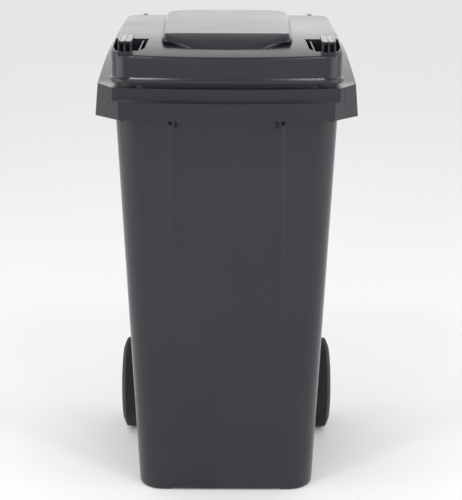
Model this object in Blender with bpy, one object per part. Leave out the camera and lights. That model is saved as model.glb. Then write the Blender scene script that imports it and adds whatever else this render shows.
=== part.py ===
"""A 120 litre two-wheeled refuse bin, modelled piece by piece in metres.

The frame stands on the ground at the middle of the bin's overall size: +X to the right when the
bin is seen from its front, +Y to the rear, where the wheels and the handle are, and +Z up.
Run it with  blender --background --python part.py  or from the text editor.
"""

import math

import bmesh
import bpy
from mathutils import Matrix, Vector

# Overall sizes, from which the rest follows
OVERALL_HALF_DEPTH = 0.275
OVERALL_HALF_WIDTH = 0.2415
GAP = 0.0003

# The tub: plan sizes at the ground and at the height where its walls turn upright
FOOT_HALF_WIDTH = 0.1765
FOOT_FRONT_Y = -0.164
FOOT_REAR_Y = 0.148
NECK_Z = 0.79
NECK_HALF_WIDTH = 0.2060
NECK_FRONT_Y = -0.241
NECK_REAR_Y = 0.183
FOOT_CORNER_RADIUS = 0.050
NECK_CORNER_RADIUS = 0.058
REAR_CORNER_RADIUS = 0.045
FRONT_BOW = 0.012
TUB_WALL = 0.004
TUB_FLOOR = 0.005
BASE_ROUNDING = 0.005
UNDERSIDE_CLEARANCE = 0.004
SKID_GAP_HALF_WIDTH = 0.112
UPSTAND = 0.008

# The shallow panel pressed into the tub's front
PANEL_TOP_HALF_WIDTH = 0.098
PANEL_FOOT_HALF_WIDTH = 0.1077
PANEL_STEP = 0.012
PANEL_DEPTH = 0.007
PANEL_FADE_Z = 0.2
PANEL_TOP_Z = 0.775

# The rim: a hollow skirt round the mouth, stepped at the front for the lifting comb
RIM_LOW_Z = 0.7784
RIM_LEDGE_Z = 0.8103
RIM_FRONT_TOP_Z = 0.8335
RIM_RISE = 0.034
RIM_RISE_START_Y = -0.20
RIM_RISE_LENGTH = 0.36
RIM_LEDGE_DEPTH = 0.0156
RIM_BOW = 0.0154
RIM_FRONT_CORNER = (0.194, -0.2596)
RIM_SIDE_START_Y = -0.1924
RIM_SIDE_END_Y = 0.140
RIM_REAR_HALF_WIDTH = 0.196
RIM_REAR_Y = 0.192
RIM_TOP_HALF_WIDTH = 0.2361
RIM_WALL = 0.0035
RIM_SIDE_DROP = 0.0595
GUSSET_THICKNESS = 0.003
GUSSET_X = 0.0925
GUSSET_DROP = 0.022
SIDE_GUSSET_Y = (-0.12, -0.03, 0.06)

# The lid
LID_HALF_WIDTH = 0.209
LID_FRONT_Y = -0.262
LID_REAR_Y = 0.2025
LID_BOW = 0.010
LID_CORNER_RADIUS = 0.045
LID_REAR_RADIUS = 0.03
LID_WALL = 0.003
LID_TOP_Z = 0.914
LID_TAIL_RISE = 0.003
LID_NOSE_DROP = 0.0245
LID_CREST_Y = 0.10
LID_LIP_GAP = 0.0105
LID_LIP_GAP_REAR = 0.004
LID_LIP_FLARE = 0.003
LID_LIP_HEIGHT = 0.008
LID_EDGE_RADIUS = 0.006
PLATEAU_HALF_WIDTH = 0.1135
PLATEAU_SPREAD = 0.0085
PLATEAU_TAIL_SPREAD = 0.006
PLATEAU_FRONT_Z = 0.9225
PLATEAU_SLOPE = 0.0257
PLATEAU_FRONT_Y = -0.165
PLATEAU_REAR_Y = 0.165
PLATEAU_TOE_Y = -0.2205
PLATEAU_HEEL_Y = 0.183

# The lid's two grips, each a ribbed strap over a finger pocket
GRIP_X = 0.181
GRIP_TAIL_SHIFT = 0.006
GRIP_WIDTH = 0.025
GRIP_THICKNESS = 0.006
GRIP_RIDGE_WIDTH = 0.0028
GRIP_RIDGE_HEIGHT = 0.0035
GRIP_PATH = ((-0.098, 0.9088), (-0.116, 0.9118), (-0.150, 0.9132), (-0.200, 0.9138),
             (-0.226, 0.9125), (-0.2385, 0.9070), (-0.2425, 0.8985), (-0.2430, 0.8905))
POCKET_FLOOR_Z = 0.872
POCKET_WALL = 0.0025
POCKET_PLAN = ((0.1435, -0.141), (0.1483, -0.213), (0.1592, -0.2265),
               (0.1985, -0.2265), (0.2048, -0.205), (0.2048, -0.141))

# The hinge and the handle share one axis
HINGE_Y = 0.253
HINGE_Z = 0.892
LUG_RADIUS = 0.022
INNER_LUG = (0.1385, 0.1495)
INNER_LUG_RADIUS = 0.018
OUTER_LUG = (0.1705, 0.1800)
LID_ARM = (0.1510, 0.1690)
LID_KNUCKLE_RADIUS = 0.0165
HANDLE_RADIUS = 0.014
PIN_RADIUS = 0.006
PIN_HEAD_RADIUS = 0.010
PIN_HEAD_THICKNESS = 0.004

# Axle and wheels
AXLE_Y = 0.172
WHEEL_RADIUS = 0.1
AXLE_RADIUS = 0.010
AXLE_HALF_LENGTH = 0.2285
GROOVE_RADIUS = 0.0078
GROOVE_HALF_WIDTH = 0.0036
WHEEL_X = 0.209
WHEEL_WELL_RADIUS = 0.112
WHEEL_WELL_X = 0.168
BRACKETS = ((0.045, 0.057), (0.155, 0.1675))
BRACKET_RADIUS = 0.022
SPACER_RADIUS = 0.015
HUB_INNER_X = -0.0225
TYRE_HALF_WIDTH = 0.0203
SEAT_RADIUS = 0.078
RIB_COUNT = 6

# The spring-loaded pin that locks each wheel on the axle
LOCK_TIP_Z = 0.0081
LOCK_STEP_Z = 0.0121
LOCK_BODY_TOP_Z = 0.0200
LOCK_SPRING_TOP_Z = 0.0415
LOCK_PLUG_TOP_Z = 0.0495
LOCK_TRAVEL = 0.003
LOCK_TIP_RADIUS = 0.0030
LOCK_BODY_RADIUS = 0.0043
LOCK_BOSS_RADIUS = 0.0075
SPRING_RADIUS = 0.0032
SPRING_WIRE = 0.0005
SPRING_TURNS = 6

ROUND = 32
SIDES = (("left", -1), ("right", 1))


# ---------------------------------------------------------------- mesh helpers

def clear_scene():
    for item in list(bpy.data.objects):
        bpy.data.objects.remove(item)


def material(name, colour, roughness, metallic=0.0):
    made = bpy.data.materials.get(name) or bpy.data.materials.new(name)
    made.use_nodes = True
    shader = made.node_tree.nodes["Principled BSDF"]
    shader.inputs["Base Color"].default_value = (*colour, 1.0)
    shader.inputs["Roughness"].default_value = roughness
    shader.inputs["Metallic"].default_value = metallic
    return made


def solid(name, corners, faces):
    """An object from corners and faces, with its faces turned outwards."""
    mesh = bpy.data.meshes.new(name)
    mesh.from_pydata([tuple(c) for c in corners], [], faces)
    work = bmesh.new()
    work.from_mesh(mesh)
    bmesh.ops.recalc_face_normals(work, faces=work.faces)
    work.to_mesh(mesh)
    work.free()
    made = bpy.data.objects.new(name, mesh)
    bpy.context.scene.collection.objects.link(made)
    return made


def loft(name, rings):
    """A closed solid through mirror-symmetric rings, each running from its front centre point
    along the right side, straight across the rear and back along the left side.
    Its two ends are closed by strips that run straight across from right to left."""
    count = len(rings[0])
    corners = [c for ring in rings for c in ring]
    faces = []
    for level in range(len(rings) - 1):
        low, high = level * count, (level + 1) * count
        faces += [(low + i, low + (i + 1) % count, high + (i + 1) % count, high + i) for i in range(count)]
    for start in (0, (len(rings) - 1) * count):
        for i in range(count // 2):
            across = [start + i, start + i + 1, start + count - i - 1, start + (count - i) % count]
            faces.append(tuple(dict.fromkeys(across)))
    return solid(name, corners, faces)


def extrusion(name, outline, low, high, axis):
    """A prism of a flat outline between two places along an axis: X takes (y, z), Z takes (x, y)."""
    def place(point, along):
        return (along, *point) if axis == "X" else (*point, along)
    count = len(outline)
    corners = [place(p, low) for p in outline] + [place(p, high) for p in outline]
    faces = [tuple(range(count)), tuple(range(count, 2 * count))]
    faces += [(i, (i + 1) % count, count + (i + 1) % count, count + i) for i in range(count)]
    return solid(name, corners, faces)


def turned(name, profile, axis="X", segments=ROUND, ring=False):
    """A turned solid from (along, radius) points. A ring's profile closes on itself;
    any other profile runs from one end face to the other and is capped there."""
    def place(along, radius, angle):
        u, v = radius * math.cos(angle), radius * math.sin(angle)
        return (along, u, v) if axis == "X" else (u, v, along)
    rows, count = len(profile), segments
    corners = [place(a, r, 2 * math.pi * k / count) for a, r in profile for k in range(count)]
    faces = []
    for row in range(rows if ring else rows - 1):
        low, high = row * count, (row + 1) % rows * count
        faces += [(low + k, low + (k + 1) % count, high + (k + 1) % count, high + k) for k in range(count)]
    if not ring:
        faces += [tuple(range(count)), tuple(range((rows - 1) * count, rows * count))]
    return solid(name, corners, faces)


def block(name, low, high):
    (x0, y0, z0), (x1, y1, z1) = low, high
    return extrusion(name, [(x0, y0), (x1, y0), (x1, y1), (x0, y1)], z0, z1, "Z")


def rod(name, radius, start, end, axis="X", centre=(0.0, 0.0), segments=24):
    """A round bar between two places along its axis, about the point centre across it."""
    made = turned(name, [(start, radius), (end, radius)], axis, segments)
    shift = (0.0, *centre) if axis == "X" else (*centre, 0.0)
    made.data.transform(Matrix.Translation(shift))
    return made


def combine(target, tool, operation):
    """Joins, cuts or crosses target with tool by an exact Boolean, and removes the tool."""
    step = target.modifiers.new(operation.title(), "BOOLEAN")
    step.object = tool
    step.operation = operation
    step.solver = "EXACT"
    depsgraph = bpy.context.evaluated_depsgraph_get()
    result = bpy.data.meshes.new_from_object(target.evaluated_get(depsgraph))
    target.modifiers.clear()
    target.data = result
    bpy.data.objects.remove(tool)
    return target


def join(target, tool):
    return combine(target, tool, "UNION")


def cut(target, tool):
    return combine(target, tool, "DIFFERENCE")


def mirrored(make, *arguments):
    """The pieces that make(side, ...) returns for the left and for the right side."""
    return [make(sign, *arguments) for _, sign in SIDES]


def finish(item, name, finish_material, smooth_angle=30.0):
    """Names a finished piece, merges coincident points, shades it and gives it its material."""
    item.name = name
    item.data.name = name
    work = bmesh.new()
    work.from_mesh(item.data)
    bmesh.ops.remove_doubles(work, verts=work.verts, dist=0.00001)
    bmesh.ops.dissolve_degenerate(work, edges=work.edges, dist=0.00001)
    work.to_mesh(item.data)
    work.free()
    item.data.shade_smooth()
    item.data.set_sharp_from_angle(angle=math.radians(smooth_angle))
    item.data.materials.clear()
    item.data.materials.append(finish_material)
    return item


# ---------------------------------------------------------------- outlines and curves

def mix(low, high, share):
    return low + (high - low) * share


def arc(centre_x, centre_y, radius, start, end, steps):
    """Points on an arc, both ends included, with angles in degrees."""
    turns = [math.radians(mix(start, end, k / steps)) for k in range(steps + 1)]
    return [(centre_x + radius * math.cos(a), centre_y + radius * math.sin(a)) for a in turns]


def full_ring(right_half, height):
    """A whole ring from its right half, whose first point lies on the centre plane.
    height gives z, either as a number or as a function of x and y."""
    left = [(-x, y) for x, y in reversed(right_half[1:])]
    level = height if callable(height) else (lambda x, y: height)
    return [Vector((x, y, level(x, y))) for x, y in right_half + left]


def rim_top(y):
    """Height of the rim's top face: level at the front, then rising towards the hinge."""
    share = min(max((y - RIM_RISE_START_Y) / RIM_RISE_LENGTH, 0.0), 1.0)
    return RIM_FRONT_TOP_Z + RIM_RISE * math.sin(share * math.pi / 2)


def lid_top(y):
    """Height of the lid's top face: it rises a little to the rear, and its nose falls away at the front."""
    reach = max(LID_CREST_Y - y, 0.0) / (LID_CREST_Y - LID_FRONT_Y)
    tail = max(y, 0.0) / LID_REAR_Y
    return LID_TOP_Z + LID_TAIL_RISE * tail - LID_NOSE_DROP * reach ** 4


def lid_lip(y):
    """Height of the lid's lower edge, which follows the rim."""
    share = (y - LID_FRONT_Y) / (LID_REAR_Y - LID_FRONT_Y)
    return rim_top(y) + mix(LID_LIP_GAP, LID_LIP_GAP_REAR, share)


def plateau_top(y):
    return PLATEAU_FRONT_Z + PLATEAU_SLOPE * (y - PLATEAU_FRONT_Y)


def tub_half(z, inset=0.0, panel=0.0):
    """Right half of the tub's plan at height z, inset all round and with its front panel pressed in."""
    share = min(max(z / NECK_Z, 0.0), 1.0)
    width = mix(FOOT_HALF_WIDTH, NECK_HALF_WIDTH, share) - inset
    front = mix(FOOT_FRONT_Y, NECK_FRONT_Y, share) + inset
    rear = mix(FOOT_REAR_Y, NECK_REAR_Y, share) - inset
    bow = mix(0.25, 1.0, share) * FRONT_BOW
    panel_width = mix(PANEL_FOOT_HALF_WIDTH, PANEL_TOP_HALF_WIDTH, share)
    corner = mix(FOOT_CORNER_RADIUS, NECK_CORNER_RADIUS, share) - inset
    tail = REAR_CORNER_RADIUS - inset

    def front_at(x):
        return front + bow * (x / width) ** 2
    start_x = width - corner
    half = [(x, front_at(x) + panel) for x in (0.0, panel_width * 0.55, panel_width)]
    half.append((panel_width + PANEL_STEP, front_at(panel_width + PANEL_STEP)))
    half += arc(start_x, front_at(start_x) + corner, corner, -90, 0, 7)
    return half + arc(width - tail, rear - tail, tail, 0, 90, 5)


def rim_half(inset, half_width, reach=0.0):
    """Right half of the rim's plan. reach pushes its front in by the ledge's depth."""
    corner_x, corner_y = RIM_FRONT_CORNER
    front = -OVERALL_HALF_DEPTH + inset + reach

    def front_at(x):
        return front + RIM_BOW * (x / corner_x) ** 2
    slope = (RIM_SIDE_START_Y - corner_y) / (half_width - corner_x)
    inner_x = corner_x - inset * 0.55
    outer_y = RIM_SIDE_START_Y + inset * 0.5
    side = half_width - inset
    half = [(x, front_at(x)) for x in (0.0, inner_x / 3, inner_x * 2 / 3, inner_x)]
    half += [(side - 0.006, outer_y - 0.006 * slope), (side, outer_y + 0.004)]
    half += [(side, y) for y in (-0.155, -0.115, -0.075, -0.03, 0.02, 0.075)]
    half += [(side, RIM_SIDE_END_Y), (side - 0.006, RIM_SIDE_END_Y + 0.016)]
    return half + [(RIM_REAR_HALF_WIDTH, RIM_REAR_Y - inset)]


def lid_half(inset, outset=0.0):
    """Right half of the lid's plan, with stations along its sides where its top curves."""
    width = LID_HALF_WIDTH - inset + outset
    front = LID_FRONT_Y + inset - outset
    rear = LID_REAR_Y - inset
    corner, tail = LID_CORNER_RADIUS - inset + outset, LID_REAR_RADIUS - inset
    start_x = width - corner

    def front_at(x):
        return front + LID_BOW * (x / start_x) ** 2
    half = [(x, front_at(x)) for x in (0.0, start_x / 3, start_x * 2 / 3)]
    half += arc(start_x, front_at(start_x) + corner, corner, -90, 0, 7)
    half += [(width, y) for y in (-0.175, -0.145, -0.11, -0.06, 0.0, 0.08)]
    return half + arc(width - tail, rear - tail, tail, 0, 90, 4)


def plateau_half(half_width, front, rear, nose_power):
    """Right half of the plateau's plan: two quarter superellipses joined by straight sides
    that spread a little towards the rear."""
    nose_y, tail_y, tail_power, steps = -0.14, 0.10, 4.0, 7

    def quarter(angle, power):
        return math.sin(angle) ** (2 / power), math.cos(angle) ** (2 / power)
    half = []
    for k in range(steps + 1):
        across, along = quarter(math.pi / 2 * k / steps, nose_power)
        half.append((half_width * across, nose_y + (front - nose_y) * along))
    for k in range(steps):
        along, across = quarter(math.pi / 2 * k / steps, tail_power)
        half.append(((half_width + PLATEAU_TAIL_SPREAD) * across, tail_y + (rear - tail_y) * along))
    return half


# ---------------------------------------------------------------- body

def tub_solid(name, inset, floor, top):
    """The tub as a full block: its outside, or with a wall's inset the space inside it."""
    rounding = max(BASE_ROUNDING - inset, 0.002)
    rings = [full_ring(tub_half(floor, inset + rounding), floor),
             full_ring(tub_half(floor, inset + rounding * 0.3), floor + rounding * 0.3),
             full_ring(tub_half(floor, inset), floor + rounding),
             full_ring(tub_half(PANEL_FADE_Z, inset), PANEL_FADE_Z),
             full_ring(tub_half(PANEL_TOP_Z, inset, PANEL_DEPTH), PANEL_TOP_Z),
             full_ring(tub_half(NECK_Z, inset), NECK_Z),
             full_ring(tub_half(NECK_Z, inset), top)]
    return loft(name, rings)


def wheel_well(side, margin):
    """The round space beside the tub's foot that the wheel turns in."""
    face = WHEEL_WELL_X - margin
    start, end = sorted((side * face, side * OVERALL_HALF_WIDTH))
    return rod("well", WHEEL_WELL_RADIUS + margin, start, end, centre=(AXLE_Y, WHEEL_RADIUS), segments=40)


def rim_solid(name, inset, low_shift, top_shift):
    """The rim as a full block, with the step at its front taken away."""
    def low(x, y):
        at_side = min(max((y - RIM_FRONT_CORNER[1]) / 0.06, 0.0), 1.0)
        return mix(RIM_LOW_Z, rim_top(y) - RIM_SIDE_DROP, at_side) + low_shift
    rings = [full_ring(rim_half(inset, OVERALL_HALF_WIDTH), low),
             full_ring(rim_half(inset, RIM_TOP_HALF_WIDTH), lambda x, y: rim_top(y) - top_shift)]
    made = loft(name, rings)
    front = -OVERALL_HALF_DEPTH + inset
    steps = [k / 8 * 0.25 for k in range(-8, 9)]
    bow = [(x, front + RIM_LEDGE_DEPTH + RIM_BOW * (x / RIM_FRONT_CORNER[0]) ** 2) for x in steps]
    step = bow + [(0.25, front - 0.05), (-0.25, front - 0.05)]
    return cut(made, extrusion("step", step, RIM_LEDGE_Z - top_shift, RIM_FRONT_TOP_Z + 0.02, "Z"))


def front_gusset(side):
    """A thin web between the tub's front wall and the rim's skirt."""
    wall_y = mix(FOOT_FRONT_Y, NECK_FRONT_Y, (RIM_LOW_Z - GUSSET_DROP) / NECK_Z) + 0.010
    skirt_y = -OVERALL_HALF_DEPTH + RIM_WALL * 0.5 + RIM_BOW * (GUSSET_X / RIM_FRONT_CORNER[0]) ** 2
    ledge_y, ledge_z, top_z = skirt_y + RIM_LEDGE_DEPTH, RIM_LEDGE_Z - 0.001, RIM_FRONT_TOP_Z - 0.001
    outline = [(wall_y, RIM_LOW_Z - GUSSET_DROP), (skirt_y, RIM_LOW_Z + 0.004), (skirt_y, ledge_z),
               (ledge_y, ledge_z), (ledge_y, top_z), (NECK_FRONT_Y + 0.006, top_z)]
    x = side * GUSSET_X
    return extrusion("gusset", outline, x - GUSSET_THICKNESS / 2, x + GUSSET_THICKNESS / 2, "X")


def side_gusset(side, y):
    """A thin web between the tub's side wall and the rim's skirt."""
    top, low = rim_top(y) - 0.001, rim_top(y) - RIM_SIDE_DROP + 0.004
    inner, outer = NECK_HALF_WIDTH - 0.003, RIM_TOP_HALF_WIDTH - 0.001
    corners = [(side * x, y + dy, z) for dy in (-GUSSET_THICKNESS / 2, GUSSET_THICKNESS / 2)
               for x, z in ((inner, low - 0.012), (outer, low), (outer, top), (inner, top))]
    faces = [(0, 1, 2, 3), (4, 5, 6, 7)] + [(i, (i + 1) % 4, 4 + (i + 1) % 4, 4 + i) for i in range(4)]
    return solid("gusset", corners, faces)


def corner_gusset(side):
    """The web under the rim's chamfered front corner."""
    top = RIM_FRONT_TOP_Z - 0.001
    inner, outer = Vector((0.176, -0.205)), Vector((0.2165, -0.2245))
    across = (outer - inner).normalized().orthogonal() * GUSSET_THICKNESS / 2
    corners = []
    for offset in (-across, across):
        for point, z in ((inner, RIM_LOW_Z - 0.020), (outer, RIM_LOW_Z + 0.003), (outer, top), (inner, top)):
            spot = point + offset
            corners.append((side * spot.x, spot.y, z))
    faces = [(0, 1, 2, 3), (4, 5, 6, 7)] + [(i, (i + 1) % 4, 4 + (i + 1) % 4, 4 + i) for i in range(4)]
    return solid("gusset", corners, faces)


def hinge_lug(side, reach, radius):
    """A plate from the tub's rear wall out to the hinge axis, with a round end."""
    start, end = sorted(side * x for x in reach)
    root_y = NECK_REAR_Y - 0.002
    outline = [(root_y, 0.8670), (0.2080, 0.8685)]
    outline += arc(HINGE_Y, HINGE_Z, radius, 160, -120, 14)
    outline += [(0.226, 0.8625), (root_y, 0.826)]
    return extrusion("lug", outline, start, end, "X")


def axle_bracket(side, reach):
    """A plate behind the tub's foot that carries the axle."""
    start, end = sorted(side * x for x in reach)
    outline = [(0.125, 0.050), (0.153, 0.055)]
    outline += arc(AXLE_Y, WHEEL_RADIUS, BRACKET_RADIUS, -60, 75, 9)
    outline += [(0.156, 0.150), (0.125, 0.155)]
    return extrusion("bracket", outline, start, end, "X")


def make_body(plastic):
    """The bin's one-piece moulding: tub, rim, hinge lugs, handle bar and axle brackets."""
    top = rim_top(NECK_REAR_Y) + UPSTAND
    body = tub_solid("body", 0.0, 0.0, lambda x, y: rim_top(y) + UPSTAND)
    low, high = (-SKID_GAP_HALF_WIDTH, -0.3, -0.01), (SKID_GAP_HALF_WIDTH, 0.3, UNDERSIDE_CLEARANCE)
    cut(body, block("between_feet", low, high))
    join(body, cut(rim_solid("rim", 0.0, 0.0, 0.0), rim_solid("hollow", RIM_WALL, -0.02, RIM_WALL)))
    for web in mirrored(front_gusset) + mirrored(corner_gusset):
        join(body, web)
    for y in SIDE_GUSSET_Y:
        for web in mirrored(side_gusset, y):
            join(body, web)
    inner_lugs = mirrored(hinge_lug, INNER_LUG, INNER_LUG_RADIUS)
    for plate in inner_lugs + mirrored(hinge_lug, OUTER_LUG, LUG_RADIUS):
        join(body, plate)
    bar_end = INNER_LUG[0] + 0.001
    join(body, rod("bar", HANDLE_RADIUS, -bar_end, bar_end, centre=(HINGE_Y, HINGE_Z)))
    for reach in BRACKETS:
        for plate in mirrored(axle_bracket, reach):
            join(body, plate)
    inside = tub_solid("inside", TUB_WALL, UNDERSIDE_CLEARANCE + TUB_FLOOR, top + 0.05)
    for well in mirrored(wheel_well, TUB_WALL):
        cut(inside, well)
    cut(body, inside)
    for well in mirrored(wheel_well, 0.0):
        cut(body, well)
    cut(body, rod("axle_bore", AXLE_RADIUS + GAP, -0.2, 0.2, centre=(AXLE_Y, WHEEL_RADIUS)))
    for side in (-1, 1):
        start, end = sorted((side * 0.1398, side * 0.2))
        cut(body, rod("pin_bore", PIN_RADIUS + GAP, start, end, centre=(HINGE_Y, HINGE_Z)))
    return finish(body, "body", plastic)


# ---------------------------------------------------------------- lid

def lid_solid(name, inset, lip_shift):
    """The lid as a full block: its outside, or with a wall's inset the space under it."""
    radius = max(LID_EDGE_RADIUS - inset, 0.001)
    flare = LID_LIP_FLARE

    def top(x, y):
        return lid_top(y) - inset
    rings = [full_ring(lid_half(inset, flare), lambda x, y: lid_lip(y) - lip_shift),
             full_ring(lid_half(inset, flare * 0.8), lambda x, y: lid_lip(y) + LID_LIP_HEIGHT * 0.6),
             full_ring(lid_half(inset), lambda x, y: lid_lip(y) + LID_LIP_HEIGHT),
             full_ring(lid_half(inset), lambda x, y: top(x, y) - radius),
             full_ring(lid_half(inset + radius * 0.3), lambda x, y: top(x, y) - radius * 0.3),
             full_ring(lid_half(inset + radius), top)]
    return loft(name, rings)


def plateau_solid(name, inset):
    """The raised part of the lid's top, reaching down into the lid so that it joins it."""
    foot = full_ring(plateau_half(PLATEAU_HALF_WIDTH + PLATEAU_SPREAD - inset, PLATEAU_TOE_Y + inset,
                                  PLATEAU_HEEL_Y - inset, 2.2), lambda x, y: lid_top(y) - inset - 0.0002)
    deep = [Vector((p.x, p.y, p.z - 0.0025)) for p in foot]
    crown = full_ring(plateau_half(PLATEAU_HALF_WIDTH - inset, PLATEAU_FRONT_Y + inset,
                                   PLATEAU_REAR_Y - inset, 26.0), lambda x, y: plateau_top(y) - inset)
    return loft(name, [deep, foot, crown])


def pocket(side, margin):
    """The finger pocket under a grip, grown by margin."""
    middle = Vector((sum(x for x, _ in POCKET_PLAN) / 6, sum(y for _, y in POCKET_PLAN) / 6))
    outline = []
    for x, y in POCKET_PLAN:
        away = Vector((x, y)) - middle
        outline.append((side * (x + math.copysign(margin, away.x)), y + math.copysign(margin, away.y)))
    return extrusion("pocket", outline, POCKET_FLOOR_Z - margin, LID_TOP_Z + 0.05, "Z")


def grip(side):
    """A strap along GRIP_PATH whose top carries a thin ridge at each edge and one in the middle."""
    half, thick, ridge = GRIP_WIDTH / 2, GRIP_THICKNESS / 2, GRIP_RIDGE_WIDTH
    section = [(-half, -thick)]
    for middle in (ridge / 2 - half, 0.0, half - ridge / 2):
        section += [(middle - ridge / 2, thick - GRIP_RIDGE_HEIGHT), (middle - ridge / 4, thick),
                    (middle + ridge / 4, thick), (middle + ridge / 2, thick - GRIP_RIDGE_HEIGHT)]
    section.append((half, -thick))
    path = [Vector(p) for p in GRIP_PATH]
    run = path[0].x - path[-1].x
    corners, count = [], len(section)
    for k, point in enumerate(path):
        along = (path[min(k + 1, len(path) - 1)] - path[max(k - 1, 0)]).normalized()
        out = Vector((-along.y, along.x)) * (-1 if along.x < 0 else 1)
        middle = GRIP_X + GRIP_TAIL_SHIFT * (point.x - path[-1].x) / run
        corners += [(side * middle + x, point.x + out.x * up, point.y + out.y * up) for x, up in section]
    faces = [tuple(range(count)), tuple(range(len(corners) - count, len(corners)))]
    for level in range(len(path) - 1):
        low, high = level * count, (level + 1) * count
        faces += [(low + i, low + (i + 1) % count, high + (i + 1) % count, high + i) for i in range(count)]
    return solid("grip", corners, faces)


def lid_arm(side):
    """The arm that reaches from the lid's rear edge round the hinge pin."""
    start, end = sorted(side * x for x in LID_ARM)
    root = lid_top(0.190) - 0.0003
    outline = [(0.190, root), (0.228, 0.9122)]
    outline += arc(HINGE_Y, HINGE_Z, LID_KNUCKLE_RADIUS, 105, -150, 14)
    outline += [(0.2020, 0.8930), (0.2005, 0.8990), (0.190, root - 0.0024)]
    return extrusion("arm", outline, start, end, "X")


def make_lid(plastic):
    """The lid: a thin shell with a raised centre, two ribbed grips and two hinge arms."""
    lid = join(lid_solid("lid", 0.0, 0.0), plateau_solid("plateau", 0.0))
    inside = join(lid_solid("inside", LID_WALL, 0.03), plateau_solid("plateau", LID_WALL))
    for space in mirrored(pocket, POCKET_WALL):
        cut(inside, space)
    for space in mirrored(pocket, 0.0):
        cut(lid, space)
    cut(lid, inside)
    for strap in mirrored(grip) + mirrored(lid_arm):
        join(lid, strap)
    for side in (-1, 1):
        start, end = sorted((side * 0.14, side * 0.18))
        cut(lid, rod("pin_bore", PIN_RADIUS + GAP, start, end, centre=(HINGE_Y, HINGE_Z)))
    finish(lid, "lid", plastic)
    lid.data.transform(Matrix.Translation((0.0, -HINGE_Y, -HINGE_Z)))
    lid.location = (0.0, HINGE_Y, HINGE_Z)
    return lid


# ---------------------------------------------------------------- hinge pins, axle and wheels

def make_hinge_pin(word, side, plastic):
    """A headed pin through the outer lug, the lid's arm and the inner lug, +X towards its head."""
    tip, shoulder = 0.1401, OUTER_LUG[1] + GAP
    profile = [(tip, PIN_RADIUS - 0.0015), (tip + 0.002, PIN_RADIUS), (shoulder, PIN_RADIUS),
               (shoulder, PIN_HEAD_RADIUS), (shoulder + PIN_HEAD_THICKNESS - 0.001, PIN_HEAD_RADIUS),
               (shoulder + PIN_HEAD_THICKNESS, PIN_HEAD_RADIUS - 0.001)]
    pin = finish(turned("pin", profile, segments=24), f"hinge_pin_{word}", plastic)
    pin.location = (0.0, HINGE_Y, HINGE_Z)
    pin.rotation_euler.z = 0.0 if side > 0 else math.pi
    return pin


def make_axle(steel):
    """A plain steel bar with a groove near each end for the wheels' locking pins."""
    right = [(WHEEL_X - GROOVE_HALF_WIDTH, AXLE_RADIUS), (WHEEL_X - GROOVE_HALF_WIDTH, GROOVE_RADIUS),
             (WHEEL_X + GROOVE_HALF_WIDTH, GROOVE_RADIUS), (WHEEL_X + GROOVE_HALF_WIDTH, AXLE_RADIUS),
             (AXLE_HALF_LENGTH - 0.002, AXLE_RADIUS), (AXLE_HALF_LENGTH, AXLE_RADIUS - 0.0015)]
    profile = [(-x, r) for x, r in reversed(right)] + right
    axle = finish(turned("axle", profile, segments=24), "axle", steel)
    axle.location = (0.0, AXLE_Y, WHEEL_RADIUS)
    return axle


def make_spacer(word, side, plastic):
    """A loose sleeve between the body's outer bracket and the wheel's hub."""
    inner, outer = BRACKETS[1][1] + GAP, WHEEL_X + HUB_INNER_X - GAP
    bore = AXLE_RADIUS + GAP
    profile = [(inner, bore), (inner, SPACER_RADIUS), (outer, SPACER_RADIUS), (outer, bore)]
    spacer = finish(turned("spacer", profile, segments=24, ring=True), f"spacer_{word}", plastic)
    spacer.location = (0.0, AXLE_Y, WHEEL_RADIUS)
    spacer.rotation_euler.z = 0.0 if side > 0 else math.pi
    return spacer


def wheel_rim():
    """The wheel's moulded centre: hub, dished web, ribs, tyre seat and the lock's radial housing."""
    bore = AXLE_RADIUS + GAP
    profile = [(HUB_INNER_X, bore), (HUB_INNER_X, 0.0185), (0.0165, 0.021), (0.0155, 0.045),
               (0.0120, 0.067), (-0.0180, 0.069), (-0.0195, SEAT_RADIUS), (-0.0078, SEAT_RADIUS),
               (-0.0072, 0.0742), (0.0072, 0.0742), (0.0078, SEAT_RADIUS), (0.0195, SEAT_RADIUS),
               (0.0208, 0.070), (0.0228, 0.047), (0.0245, 0.026), (0.0245, 0.0170), (0.0210, 0.0170),
               (0.0210, bore)]
    rim = turned("rim", profile, ring=True)
    for k in range(RIB_COUNT):
        rib = extrusion("rib", [(-0.0015, 0.0155), (0.0015, 0.0155), (0.0015, 0.0715), (-0.0015, 0.0715)],
                        -0.013, 0.0175, "X")
        rib.data.transform(Matrix.Rotation(2 * math.pi * k / RIB_COUNT, 4, "X"))
        join(rim, rib)
    join(rim, rod("housing", LOCK_BOSS_RADIUS, 0.013, LOCK_PLUG_TOP_Z + 0.0005, "Z"))
    cut(rim, rod("tip_bore", LOCK_TIP_RADIUS + GAP, 0.005, 0.02, "Z", segments=16))
    low, high = LOCK_STEP_Z - GAP, LOCK_PLUG_TOP_Z + 0.01
    cut(rim, rod("spring_bore", LOCK_BODY_RADIUS + GAP, low, high, "Z", segments=16))
    return rim


def tyre():
    """A solid rubber tyre with a flat tread, round shoulders and a key inside its seat."""
    seat, half = SEAT_RADIUS + GAP, TYRE_HALF_WIDTH
    outer = [(half, seat), (0.0195, 0.0830), (0.0172, 0.0890), (0.0148, 0.0950), (0.0110, WHEEL_RADIUS)]
    key = [(0.0080 - GAP, seat), (0.0072 - GAP, 0.0742 + GAP)]
    right = [key[1], key[0], *outer]
    profile = right + [(-x, r) for x, r in reversed(right)]
    return turned("tyre", profile, segments=48, ring=True)


def hub_cap():
    """The domed disc that closes the hub's outer end."""
    profile = [(0.0213, 0.0160), (0.0246, 0.0164), (0.0256, 0.0120), (0.0260, 0.0050)]
    return turned("cap", profile, segments=24)


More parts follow.
